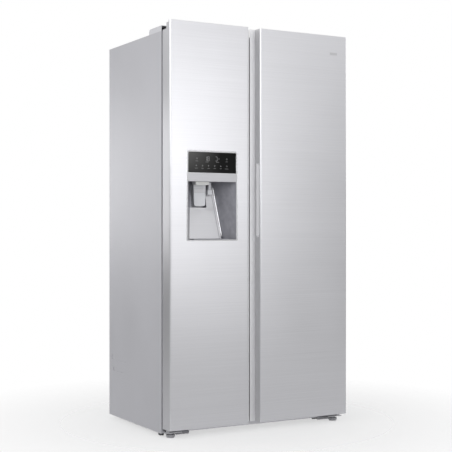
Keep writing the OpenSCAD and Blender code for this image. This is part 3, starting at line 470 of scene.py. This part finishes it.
def make_cavity():
    """Silver lining of the cavity with its leaning bright trim; the recess behind the paddle stays open in
    the lining and is backed by a pale panel of painted light.
    """
    paddle_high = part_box("paddle")[1]
    low, high, wall = CAVITY_Z[0] + 0.3 * MM, CAVITY_Z[1] - 0.3 * MM, 0.9 * MM
    start = {z: paddle_high[0] - back_point(0, z).x for z in (NICHE_Z, high)}
    outline = [back_point(0, low, 0.2 * MM), back_point(trim_inset(low), low, 0.2 * MM),
               back_point(trim_inset(high), high, 0.2 * MM), back_point(start[high], high, 0.2 * MM),
               back_point(start[NICHE_Z], NICHE_Z, 0.2 * MM), back_point(0, NICHE_Z, 0.2 * MM)]
    bm = bmesh.new()
    add_prism(bm, outline, (0, -wall, 0), 0.3 * MM, 2)
    piece("cavity_back", bm, "dispenser_silver", "freezer_door", smooth=False)
    bm = bmesh.new()
    inward = Vector((1, -CAVITY_SLOPE, 0)).normalized()
    left = [Vector((CAVITY_X[0] + CAVITY_SLOPE * t, FRONT_Y + t, z)) + inward * 0.2 * MM
            for t, z in ((2 * MM, low), (back_depth(low) - 0.5 * MM, low),
                         (back_depth(NICHE_Z) - 0.5 * MM, NICHE_Z), (2 * MM, NICHE_Z))]
    add_prism(bm, left, inward * wall, 0.3 * MM, 2)
    piece("cavity_left", bm, "dispenser_silver", "freezer_door", smooth=False)
    paddle_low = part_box("paddle")[0]
    # painted light: a pale panel, far lighter than the housing grey, lines the recess behind the paddle and
    # stands in for light the recess does not get
    bm = bmesh.new()
    add_box(bm, (paddle_low[0] + 0.8 * MM, FRONT_Y + 114.4 * MM, NICHE_Z + 1 * MM),
            (paddle_high[0] - 0.8 * MM, FRONT_Y + 115.6 * MM, CAVITY_Z[1] - 4 * MM), 0.4 * MM, 2)
    piece("recess_painted_light_panel", bm, "paddle_grey", "freezer_door", smooth=False)
    bm = bmesh.new()
    heights = [low + 4 * MM + (high - low - 8 * MM) * k / 12 for k in range(13)]
    add_tube(bm, [back_point(trim_inset(z), z, 3 * MM) for z in heights], 2.8 * MM)
    piece("cavity_trim", bm, "bright_trim", "freezer_door")
    bm = bmesh.new()
    add_tube(bm, [back_point(trim_inset(z) - 12 * MM, z, 1.2 * MM) for z in heights], 0.8 * MM, sides=8)
    piece("cavity_groove", bm, "dispenser_grey", "freezer_door")


def make_bezel_rim():
    """Bright rounded edge round the dispenser frame and a fine one round the cavity's mouth."""
    y = FRONT_Y
    outer = rounded_rect(BEZEL[0][0], BEZEL[1][0], BEZEL[0][2], BEZEL[1][2], (2 * MM, 2 * MM, 8 * MM, 8 * MM))
    bm = bmesh.new()
    add_tube(bm, [(x, y + 0.4 * MM, z) for x, z in outer], 1.5 * MM, closed=True)
    piece("bezel_rim", bm, "bright_trim", "freezer_door")
    inner = rounded_rect(CAVITY_X[0], CAVITY_X[1], CAVITY_Z[0], CAVITY_Z[1], (1 * MM,) * 4, 3)
    bm = bmesh.new()
    add_tube(bm, [(x, y + 0.6 * MM, z) for x, z in inner], 0.9 * MM, closed=True, sides=8)
    piece("cavity_rim", bm, "dispenser_silver", "freezer_door")
    radii = (1 * MM, 1 * MM, 5 * MM, 5 * MM)
    window = rounded_rect(CAVITY_X[0], CAVITY_X[1], DISPLAY[0][2], DISPLAY[1][2], radii, 6)
    bm = bmesh.new()
    add_tube(bm, [(x, y - 0.1 * MM, z) for x, z in window], 1.0 * MM, closed=True, sides=8)
    piece("display_rim", bm, "bright_trim", "freezer_door")


def make_paddle():
    """Tapered paddle with rounded lower corners and a band across its upper half."""
    low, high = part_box("paddle")
    middle = (low[0] + high[0]) / 2
    half_top = (high[0] - low[0]) / 2 - 5.5 * MM
    half_low = half_top - 3.5 * MM
    top, bottom = high[2] - 1.5 * MM, low[2]
    y = (low[1] + high[1]) / 2
    r, steps = 9 * MM, 6
    turn = [math.radians(90 * k / steps) for k in range(steps + 1)]
    right = [(half_low - r + r * math.sin(a), bottom + r - r * math.cos(a)) for a in turn]
    outline = right + [(half_top, top), (-half_top, top)] + [(-x, z) for x, z in right[::-1]]
    bm = bmesh.new()
    add_prism(bm, [(middle + x, y - 2.4 * MM, z) for x, z in outline], (0, 4.6 * MM, 0), 1.1 * MM, 3)
    axle_z = high[2] - 3 * MM
    add_tube(bm, [(low[0] + 0.3 * MM, y, axle_z), (high[0] - 0.3 * MM, y, axle_z)], 2.4 * MM)
    shell = piece("paddle_shell", bm, "paddle_grey", "paddle", smooth=False)
    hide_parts("paddle")
    bm = bmesh.new()
    reach = half_top - 2.5 * MM
    add_box(bm, (middle - reach, y - 3.4 * MM, top - 42 * MM),
            (middle + reach, y - 2 * MM, top - 22 * MM), 0.6 * MM)
    piece("paddle_band", bm, "dispenser_silver", "paddle", smooth=False)


def make_nozzle():
    """White ice nozzle under the cavity's ceiling and the water spout beside the paddle."""
    low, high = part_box("ice_chute")
    z = CAVITY_Z[1]
    x0, x1 = low[0] + 1 * MM, high[0] - 1 * MM
    y0, y1 = low[1] - 2.5 * MM, low[1] + 40 * MM
    bm = bmesh.new()
    outer = [(x0 - 2 * MM, y0), (x1 + 2 * MM, y0), (x1 + 2 * MM, y1 - 4 * MM), (x0 - 2 * MM, y1 - 4 * MM)]
    taper = 4 * MM
    lower = [(x0 + taper, y0 + taper), (x1 - taper, y0 + taper),
             (x1 - taper, y1 - 8 * MM), (x0 + taper, y1 - 8 * MM)]
    wall = 2.2 * MM
    rings = []
    top, tip = z - 0.3 * MM, z - 14 * MM
    for ring, height, inset in ((outer, top, 0), (lower, tip, 0), (lower, tip, wall), (outer, top, wall)):
        cx = sum(p[0] for p in ring) / 4
        cy = sum(p[1] for p in ring) / 4
        rings.append([bm.verts.new((x + (inset if x < cx else -inset),
                                    y + (inset if y < cy else -inset), height)) for x, y in ring])
    for k in range(4):
        a, b = rings[k], rings[(k + 1) % 4]
        for j in range(4):
            bm.faces.new((a[j], a[(j + 1) % 4], b[(j + 1) % 4], b[j]))
    bmesh.ops.bevel(bm, geom=list(bm.edges), offset=0.8 * MM, segments=3, profile=0.5, affect="EDGES")
    piece("ice_nozzle", bm, "lamp_white", "freezer_door", smooth=False)
    paddle_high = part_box("paddle")[1]
    x = paddle_high[0] + 16 * MM
    y = FRONT_Y + 84 * MM
    bm = bmesh.new()
    add_box(bm, (x - 14 * MM, y - 10 * MM, z - 55 * MM), (x + 10 * MM, y + 12 * MM, z - 32 * MM), 3 * MM)
    add_box(bm, (x - 8 * MM, y - 4 * MM, z - 36 * MM), (x + 6 * MM, y + 10 * MM, z - 1 * MM), 2 * MM)
    piece("water_spout", bm, "paddle_grey", "freezer_door", smooth=False)


def make_display_marks():
    """Faint generic symbols behind the display's glass: two readouts, rings, asterisks and dashes."""
    y = DISPLAY[0][1] - 0.15 * MM
    x0, width = DISPLAY[0][0], DISPLAY[1][0] - DISPLAY[0][0]
    z0, height = DISPLAY[0][2], DISPLAY[1][2] - DISPLAY[0][2]
    bm = bmesh.new()

    def bar(cx, cz, w, h):
        add_box(bm, (cx - w / 2, y, cz - h / 2), (cx + w / 2, y + 0.3 * MM, cz + h / 2))

    def ring(cx, cz, r, width_mm=0.8):
        path = [(cx + r * math.cos(a), y + 0.15 * MM, cz + r * math.sin(a))
                for a in (2 * math.pi * k / 24 for k in range(24))]
        add_tube(bm, path, width_mm * MM / 2, closed=True, sides=6)

    def digit(cx, cz, segments):
        w, h = 8.5 * MM, 9 * MM
        places = {"a": (0, h, w, 0), "g": (0, 0, w, 0), "d": (0, -h, w, 0), "f": (-w / 2, h / 2, 0, h),
                  "b": (w / 2, h / 2, 0, h), "e": (-w / 2, -h / 2, 0, h), "c": (w / 2, -h / 2, 0, h)}
        for key in segments:
            dx, dz, sw, sh = places[key]
            bar(cx + dx, cz + dz, max(sw - 1.6 * MM, 1.5 * MM), max(sh - 1.6 * MM, 1.5 * MM))

    upper, lower = z0 + height * 0.68, z0 + height * 0.34
    for share, digits in ((0.39, ("bc", "abcdefg")), (0.61, ("abcd", "g"))):
        for k, segments in enumerate(digits):
            digit(x0 + width * share + (k - len(digits) / 2 + 0.5) * 13 * MM, upper, segments)
        bar(x0 + width * share, upper - 14 * MM, 14 * MM, 1.2 * MM)
    for share in (0.18, 0.80):
        ring(x0 + width * share, upper, 3.2 * MM)
        bar(x0 + width * share, upper - 11 * MM, 13 * MM, 1 * MM)
    for k in range(6):
        cx = x0 + width * (0.17 + 0.126 * k)
        if k % 2:
            ring(cx, lower, 2.6 * MM, 0.9)
        else:
            for a in range(3):
                turn = math.pi * a / 3
                add_tube(bm, [(cx + 3 * MM * end * math.cos(turn), y + 0.15 * MM,
                               lower + 3 * MM * end * math.sin(turn)) for end in (-1, 1)], 0.45 * MM, sides=6)
        bar(cx, lower - 11 * MM, (15 if k in (0, 5) else 11) * MM, 1 * MM)
    piece("display_marks", bm, "display_mark", "freezer_door", smooth=False)


# ---------- Fittings on the outside ----------
def make_nameplate():
    """Small blank metal plate high on the fridge door."""
    x1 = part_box("fridge_door_skin")[1][0] - 54 * MM
    z1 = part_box("fridge_door_skin")[1][2] - 73 * MM
    bm = bmesh.new()
    add_box(bm, (x1 - 40 * MM, FRONT_Y - 1.2 * MM, z1 - 15 * MM),
            (x1, FRONT_Y + 0.2 * MM, z1 - 4 * MM), 0.5 * MM)
    piece("nameplate", bm, "zinc", "fridge_door", smooth=False)


POCKET_Z = (858 * MM, 1181 * MM)
POCKET_FACE = 26.6 * MM                 # from the grip's inner edge to the pocket's mouth
POCKET_Y = (FRONT_Y + 9 * MM, FRONT_Y + 33 * MM)
POCKET_REACH = 19 * MM


def make_grip_lips():
    """Rounded light lip along the rear edge of each grip pocket and chamfered pocket ends."""
    for side, body in ((LEFT, "freezer_door"), (RIGHT, "fridge_door")):
        node = body + "_grip"
        low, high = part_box(node)
        face_x = (high[0] - POCKET_FACE) if side == LEFT else (low[0] + POCKET_FACE)
        inward = -1 if side == LEFT else 1
        bm = bmesh.new()
        z0, z1 = POCKET_Z
        for y, r in zip(POCKET_Y, (0.8 * MM, 1.0 * MM)):
            add_tube(bm, [(face_x + inward * 0.3 * MM, y, z0), (face_x + inward * 0.3 * MM, y, z1)], r)
        for z, lift in ((z0, 1), (z1, -1)):
            far_x = face_x + inward * POCKET_REACH
            outline = [(face_x, POCKET_Y[0], z), (face_x, POCKET_Y[1], z),
                       (far_x, FRONT_Y + 21 * MM, z), (far_x, POCKET_Y[0], z)]
            wedge = bmesh.new()
            base = [wedge.verts.new(p) for p in outline]
            tips = [wedge.verts.new((p[0], p[1], z + lift * 12 * MM)) for p in outline[2:]]
            wedge.faces.new(base)
            wedge.faces.new((base[2], base[3], tips[1], tips[0]))
            wedge.faces.new((base[0], base[1], tips[0], tips[1]))
            wedge.faces.new((base[1], base[2], tips[0]))
            wedge.faces.new((base[3], base[0], tips[1]))
            bmesh.ops.recalc_face_normals(wedge, faces=wedge.faces)
            merge(bm, wedge)
        piece(node.replace("_grip", "_pocket_lips"), bm, "channel_trim", body, smooth=False)


def make_screws():
    """Screws of the rear cover, back panel, hinge covers and lower hinges."""
    bm = bmesh.new()
    cover_low, cover_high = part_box("machine_cover")
    back_low, back_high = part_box("back_panel")
    out_back = (0, 1, 0)
    y = cover_high[1]
    inset = 12 * MM
    for k in range(7):
        x = cover_low[0] + inset + (cover_high[0] - cover_low[0] - 2 * inset) * k / 6
        add_screw(bm, (x, y - 2.2 * MM, cover_high[2] - 9 * MM), out_back)
        add_screw(bm, (x, y - 2.2 * MM, cover_low[2] + 8 * MM), out_back)
    for k in range(6):
        z = back_low[2] + 60 * MM + (back_high[2] - back_low[2] - 120 * MM) * k / 5
        for x in (back_low[0] + 12 * MM, back_high[0] - 12 * MM):
            add_screw(bm, (x, back_high[1] - 2.2 * MM, z), out_back)
    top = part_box("hinge_covers")[1][2]
    for side in (LEFT, RIGHT):
        add_screw(bm, spot(side, 50, 130, 0) + Vector((0, 0, top - 0.2 * MM)), (0, 0, 1), 0.0045)
        for u in (52, 68):
            add_screw(bm, spot(side, u, 80.5, 42), (0, -1, 0), 0.005, 0.003)
    piece("screws", bm, "zinc", "cabinet", smooth=False)


def make_inside():
    """Front trims of the shelves and bins, lamp covers and the folds of the door gaskets."""
    for node, body in (("freezer_bins", "freezer_door"), ("fridge_bins", "fridge_door")):
        bins = bmesh.new()
        for low, high in solid_boxes(node):
            r = 2.2 * MM
            y = high[1] - 0.8 * MM
            add_tube(bins, [(low[0] + 1 * MM, y, high[2] - r), (high[0] - 1 * MM, y, high[2] - r)], r)
        piece(node + "_lips", bins, "trim_plastic", body)
    bm = bmesh.new()
    for node in ("freezer_shelves", "fridge_shelf_frames"):
        for low, high in solid_boxes(node):
            add_tube(bm, [(low[0] + 2 * MM, low[1] + 1 * MM, high[2] - 2.6 * MM),
                          (high[0] - 2 * MM, low[1] + 1 * MM, high[2] - 2.6 * MM)], 2.4 * MM)
    piece("shelf_lips", bm, "zinc", "cabinet")
    bm = bmesh.new()
    for low, high in solid_boxes("lamps"):
        wide, deep = high[0] - low[0], high[1] - low[1]
        for k in range(9):
            x = low[0] + wide * (0.1 + 0.1 * k)
            z = low[2] - 0.1 * MM
            add_tube(bm, [(x, low[1] + deep * 0.12, z), (x, high[1] - deep * 0.12, z)], 1.0 * MM, sides=8)
    piece("lamp_ribs", bm, "lamp_white", "cabinet")
    for node, body in (("freezer_gasket", "freezer_door"), ("fridge_gasket", "fridge_door")):
        low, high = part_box(node)
        bm = bmesh.new()
        for inset, depth, r in ((3, 0.30, 1.1), (9, 0.62, 1.3), (3, 0.82, 0.9)):
            y = low[1] + (high[1] - low[1]) * depth
            i = inset * MM
            for a, b in (((low[0] + i, low[2] + i), (high[0] - i, low[2] + i)),
                         ((low[0] + i, high[2] - i), (high[0] - i, high[2] - i)),
                         ((low[0] + i, low[2] + i), (low[0] + i, high[2] - i)),
                         ((high[0] - i, low[2] + i), (high[0] - i, high[2] - i))):
                add_tube(bm, [(a[0], y, a[1]), (b[0], y, b[1])], r * MM, sides=8)
        piece(node + "_folds", bm, "gasket_rubber", body)


def solid_boxes(node):
    """Bounds of each separate solid of a CAD node, in the row frame."""
    mesh = NODES[node].data
    turn = NODES[node].matrix_world
    bm = bmesh.new()
    bm.from_mesh(mesh)
    bmesh.ops.remove_doubles(bm, verts=bm.verts, dist=0.00001)
    todo, boxes = set(bm.verts), []
    while todo:
        stack, found = [todo.pop()], []
        while stack:
            vert = stack.pop()
            found.append(turn @ vert.co)
            for edge in vert.link_edges:
                other = edge.other_vert(vert)
                if other in todo:
                    todo.remove(other)
                    stack.append(other)
        boxes.append((tuple(min(v[k] for v in found) for k in range(3)),
                      tuple(max(v[k] for v in found) for k in range(3))))
    bm.free()
    return sorted(boxes)


def make_rear_details():
    """Details at the back: embossed frames, compressor pipes and the inlet's collar."""
    low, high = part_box("back_panel")
    y = high[1] - 2.4 * MM
    bm = bmesh.new()
    for x0, x1 in ((low[0] + 40 * MM, -30 * MM), (30 * MM, high[0] - 40 * MM)):
        ring = rounded_rect(x0, x1, low[2] + 60 * MM, high[2] - 60 * MM, (18 * MM,) * 4, 6)
        add_tube(bm, [(x, y + 1.2 * MM, z) for x, z in ring], 1.1 * MM, closed=True, sides=8)
    piece("back_beads", bm, "back_steel", "cabinet")
    low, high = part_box("compressor")
    mid = ((low[0] + high[0]) / 2, (low[1] + high[1]) / 2)
    bm = bmesh.new()
    for dx, bend in ((-40, 50), (40, 70)):
        x, z = mid[0] + dx * MM, (low[2] + high[2]) / 2
        path = []
        for k in range(17):
            a = math.pi * k / 16
            path.append((x + 18 * MM * math.cos(a), mid[1] - bend * MM * 0.2,
                         z + 55 * MM + 22 * MM * math.sin(a)))
        path = [(path[0][0], path[0][1], z)] + path + [(path[-1][0], path[-1][1], z + 10 * MM)]
        add_tube(bm, path, 3.2 * MM)
    piece("compressor_pipes", bm, "copper", "cabinet")
    low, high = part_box("water_inlet")
    cx, cz, r = (low[0] + high[0]) / 2, (low[2] + high[2]) / 2, (high[0] - low[0]) / 2
    bm = bmesh.new()
    for k in range(2):
        ring = [(cx + (r - 1 * MM) * math.cos(a), high[1] - (3 + 5 * k) * MM, cz + (r - 1 * MM) * math.sin(a))
                for a in (2 * math.pi * j / 32 for j in range(32))]
        add_tube(bm, ring, 1.0 * MM, closed=True, sides=8)
    piece("inlet_collar", bm, "paddle_grey", "cabinet")


def make_foot_details():
    """Knurled wheels and threads of the levelling feet, and the clips and ribs of their brackets."""
    for side, body in ((LEFT, "foot_left"), (RIGHT, "foot_right")):
        low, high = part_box(body)
        cx, cy = (low[0] + high[0]) / 2, (low[1] + high[1]) / 2
        radius = (high[0] - low[0]) / 2
        teeth = 28
        ring = []
        for k in range(teeth * 4):
            a = 2 * math.pi * k / (teeth * 4)
            far = radius + (2.6 if k % 4 in (1, 2) else 1.0) * MM
            ring.append((cx + far * math.cos(a), cy + far * math.sin(a), 4.5 * MM))
        bm = bmesh.new()
        add_prism(bm, ring, (0, 0, 9 * MM), 0.3 * MM, 1)
        path = [(cx + 5 * MM * math.cos(a), cy + 5 * MM * math.sin(a), 17 * MM + 1.5 * MM * a / (2 * math.pi))
                for a in (2 * math.pi * k / 16 for k in range(16 * 9))]
        add_tube(bm, path, 0.5 * MM, sides=6)
        piece(body + "_wheel", bm, "foot_grey", body, smooth=False)
        bm = bmesh.new()
        add_tube(bm, [spot(side, 57, 62, 18), spot(side, 119, 62, 18)], 4.5 * MM)
        for u in range(59, 118, 7):
            add_tube(bm, [spot(side, u, 62, 18), spot(side, u + 2.8, 62, 18)], 8.5 * MM, sides=24)
        add_box(bm, spot(side, 56, 58, 22), spot(side, 60, 78, 38), 0.8 * MM, 2)
        piece(body + "_bracket_ribs", bm, "foot_grey", "cabinet", smooth=False)
        bm = bmesh.new()
        add_box(bm, spot(side, 3, 86, 7), spot(side, 14, 104, 30), 1 * MM, 2)
        add_box(bm, spot(side, 5, 104, 4), spot(side, 13, 124, 14), 1 * MM, 2)
        for u in (92, 98, 104):
            add_box(bm, spot(side, u, 84, 22), spot(side, u + 3, 104, 33), 0.6 * MM, 2)
        piece(body + "_clips", bm, "dark_plastic", "cabinet", smooth=False)


# ---------- Studio ----------
LIGHTS = [   # name, turn from straight in front, height angle (degrees), distance, width, height (m), watts
    ("front_high", 0, 30, 4.0, 1.6, 1.2, 5.0),
    ("front_right", 22, 4, 4.0, 0.9, 0.9, 1.2),
    ("front_upper", 8, 14, 2.4, 0.9, 0.9, 3.1),
    ("front_lower", 14, -6, 2.6, 0.9, 0.9, 1.9),
    ("front_middle", 4, 2, 2.2, 0.8, 0.8, 1.1),
    ("right_side", 90, 15, 4.0, 1.6, 1.4, 7.5),
    ("left_front", -60, 20, 4.0, 2.8, 2.4, 40.0),
    ("left_side", -90, 15, 4.0, 1.6, 1.4, 8.0),
    ("left_rear", -150, 4, 4.0, 1.2, 1.2, 3.8),
    ("left_far", -162, 5, 4.0, 1.2, 1.2, 11.2),
    ("rear", 170, 30, 4.0, 2.0, 1.4, 20.0),
]
AIM = Vector((0.0, 0.0, 0.95))
FLOOR_RADIUS = 1.75
SKY = [   # height from nadir 0 to zenith 1, grey level
    (0.0, 0.74), (0.42, 0.74), (0.445, 0.22), (0.555, 0.22),
    (0.585, 0.97), (0.77, 0.97), (0.82, 0.25), (1.0, 0.25),
]


def make_lights():
    for name, turn, lift, far, width, height, watts in LIGHTS:
        data = bpy.data.lights.new(name, "AREA")
        data.shape = "RECTANGLE"
        data.size, data.size_y = width, height
        data.energy = watts
        lamp = bpy.data.objects.new(name, data)
        turn, lift = math.radians(turn), math.radians(lift)
        way = Vector((math.sin(turn) * math.cos(lift), -math.cos(turn) * math.cos(lift), math.sin(lift)))
        lamp.location = AIM + far * way
        lamp.rotation_euler = (-way).to_track_quat("-Z", "Y").to_euler()
        bpy.context.scene.collection.objects.link(lamp)


def make_world():
    """White behind the object, and a soft banded sky for light and reflections."""
    world = bpy.data.worlds.new("studio")
    bpy.context.scene.world = world
    world.use_nodes = True
    nodes, links = world.node_tree.nodes, world.node_tree.links
    coords = nodes.new("ShaderNodeTexCoord")
    split = nodes.new("ShaderNodeSeparateXYZ")
    links.new(coords.outputs["Generated"], split.inputs[0])
    height = nodes.new("ShaderNodeMapRange")
    height.inputs["From Min"].default_value = -1.0
    links.new(split.outputs["Z"], height.inputs["Value"])
    ramp = nodes.new("ShaderNodeValToRGB")
    links.new(height.outputs["Result"], ramp.inputs["Fac"])
    stops = ramp.color_ramp.elements
    while len(stops) < len(SKY):
        stops.new(0.5)
    for stop, (at, level) in zip(stops, SKY):
        stop.position = at
        stop.color = (level, level, level, 1.0)
    seen = nodes.new("ShaderNodeLightPath")
    mix = nodes.new("ShaderNodeMix")
    mix.data_type = "RGBA"
    links.new(seen.outputs["Is Camera Ray"], mix.inputs["Factor"])
    first, second = [s for s in mix.inputs if s.type == "RGBA"]
    links.new(ramp.outputs["Color"], first)
    second.default_value = (1.0, 1.0, 1.0, 1.0)
    links.new([s for s in mix.outputs if s.type == "RGBA"][0], nodes["Background"].inputs["Color"])


def make_floor():
    """Plain pale disc that fades out towards its rim."""
    bm = bmesh.new()
    bmesh.ops.create_circle(bm, cap_ends=True, segments=96, radius=FLOOR_RADIUS)
    mesh = bpy.data.meshes.new("floor")
    bm.to_mesh(mesh)
    bm.free()
    floor = bpy.data.objects.new("floor", mesh)
    bpy.context.scene.collection.objects.link(floor)
    t = Tree("floor")
    tone = t.blend(t.noise((2.0, 2.0, 2.0)), (0.79, 0.79, 0.80, 1), (0.81, 0.81, 0.82, 1))
    t.put(t.shader.inputs["Base Color"], tone)
    t.shader.inputs["Roughness"].default_value = 0.8
    t.shader.inputs["Specular IOR Level"].default_value = 0.1
    reach = t.add("ShaderNodeVectorMath", operation="LENGTH")
    t.put(reach.inputs[0], t.add("ShaderNodeTexCoord").outputs["Object"])
    t.put(t.shader.inputs["Alpha"], t.spread(reach.outputs["Value"], 0.42, 0.0, 0.45, 1.5))
    mesh.materials.append(t.material)


def make_studio():
    bpy.context.scene.view_settings.view_transform = "Standard"
    make_world()
    make_lights()
    make_floor()


make_camera()
make_cavity()
make_bezel_rim()
make_paddle()
make_nozzle()
make_display_marks()
make_nameplate()
make_grip_lips()
make_screws()
make_foot_details()
make_inside()
make_rear_details()
dress_cad()
make_studio()
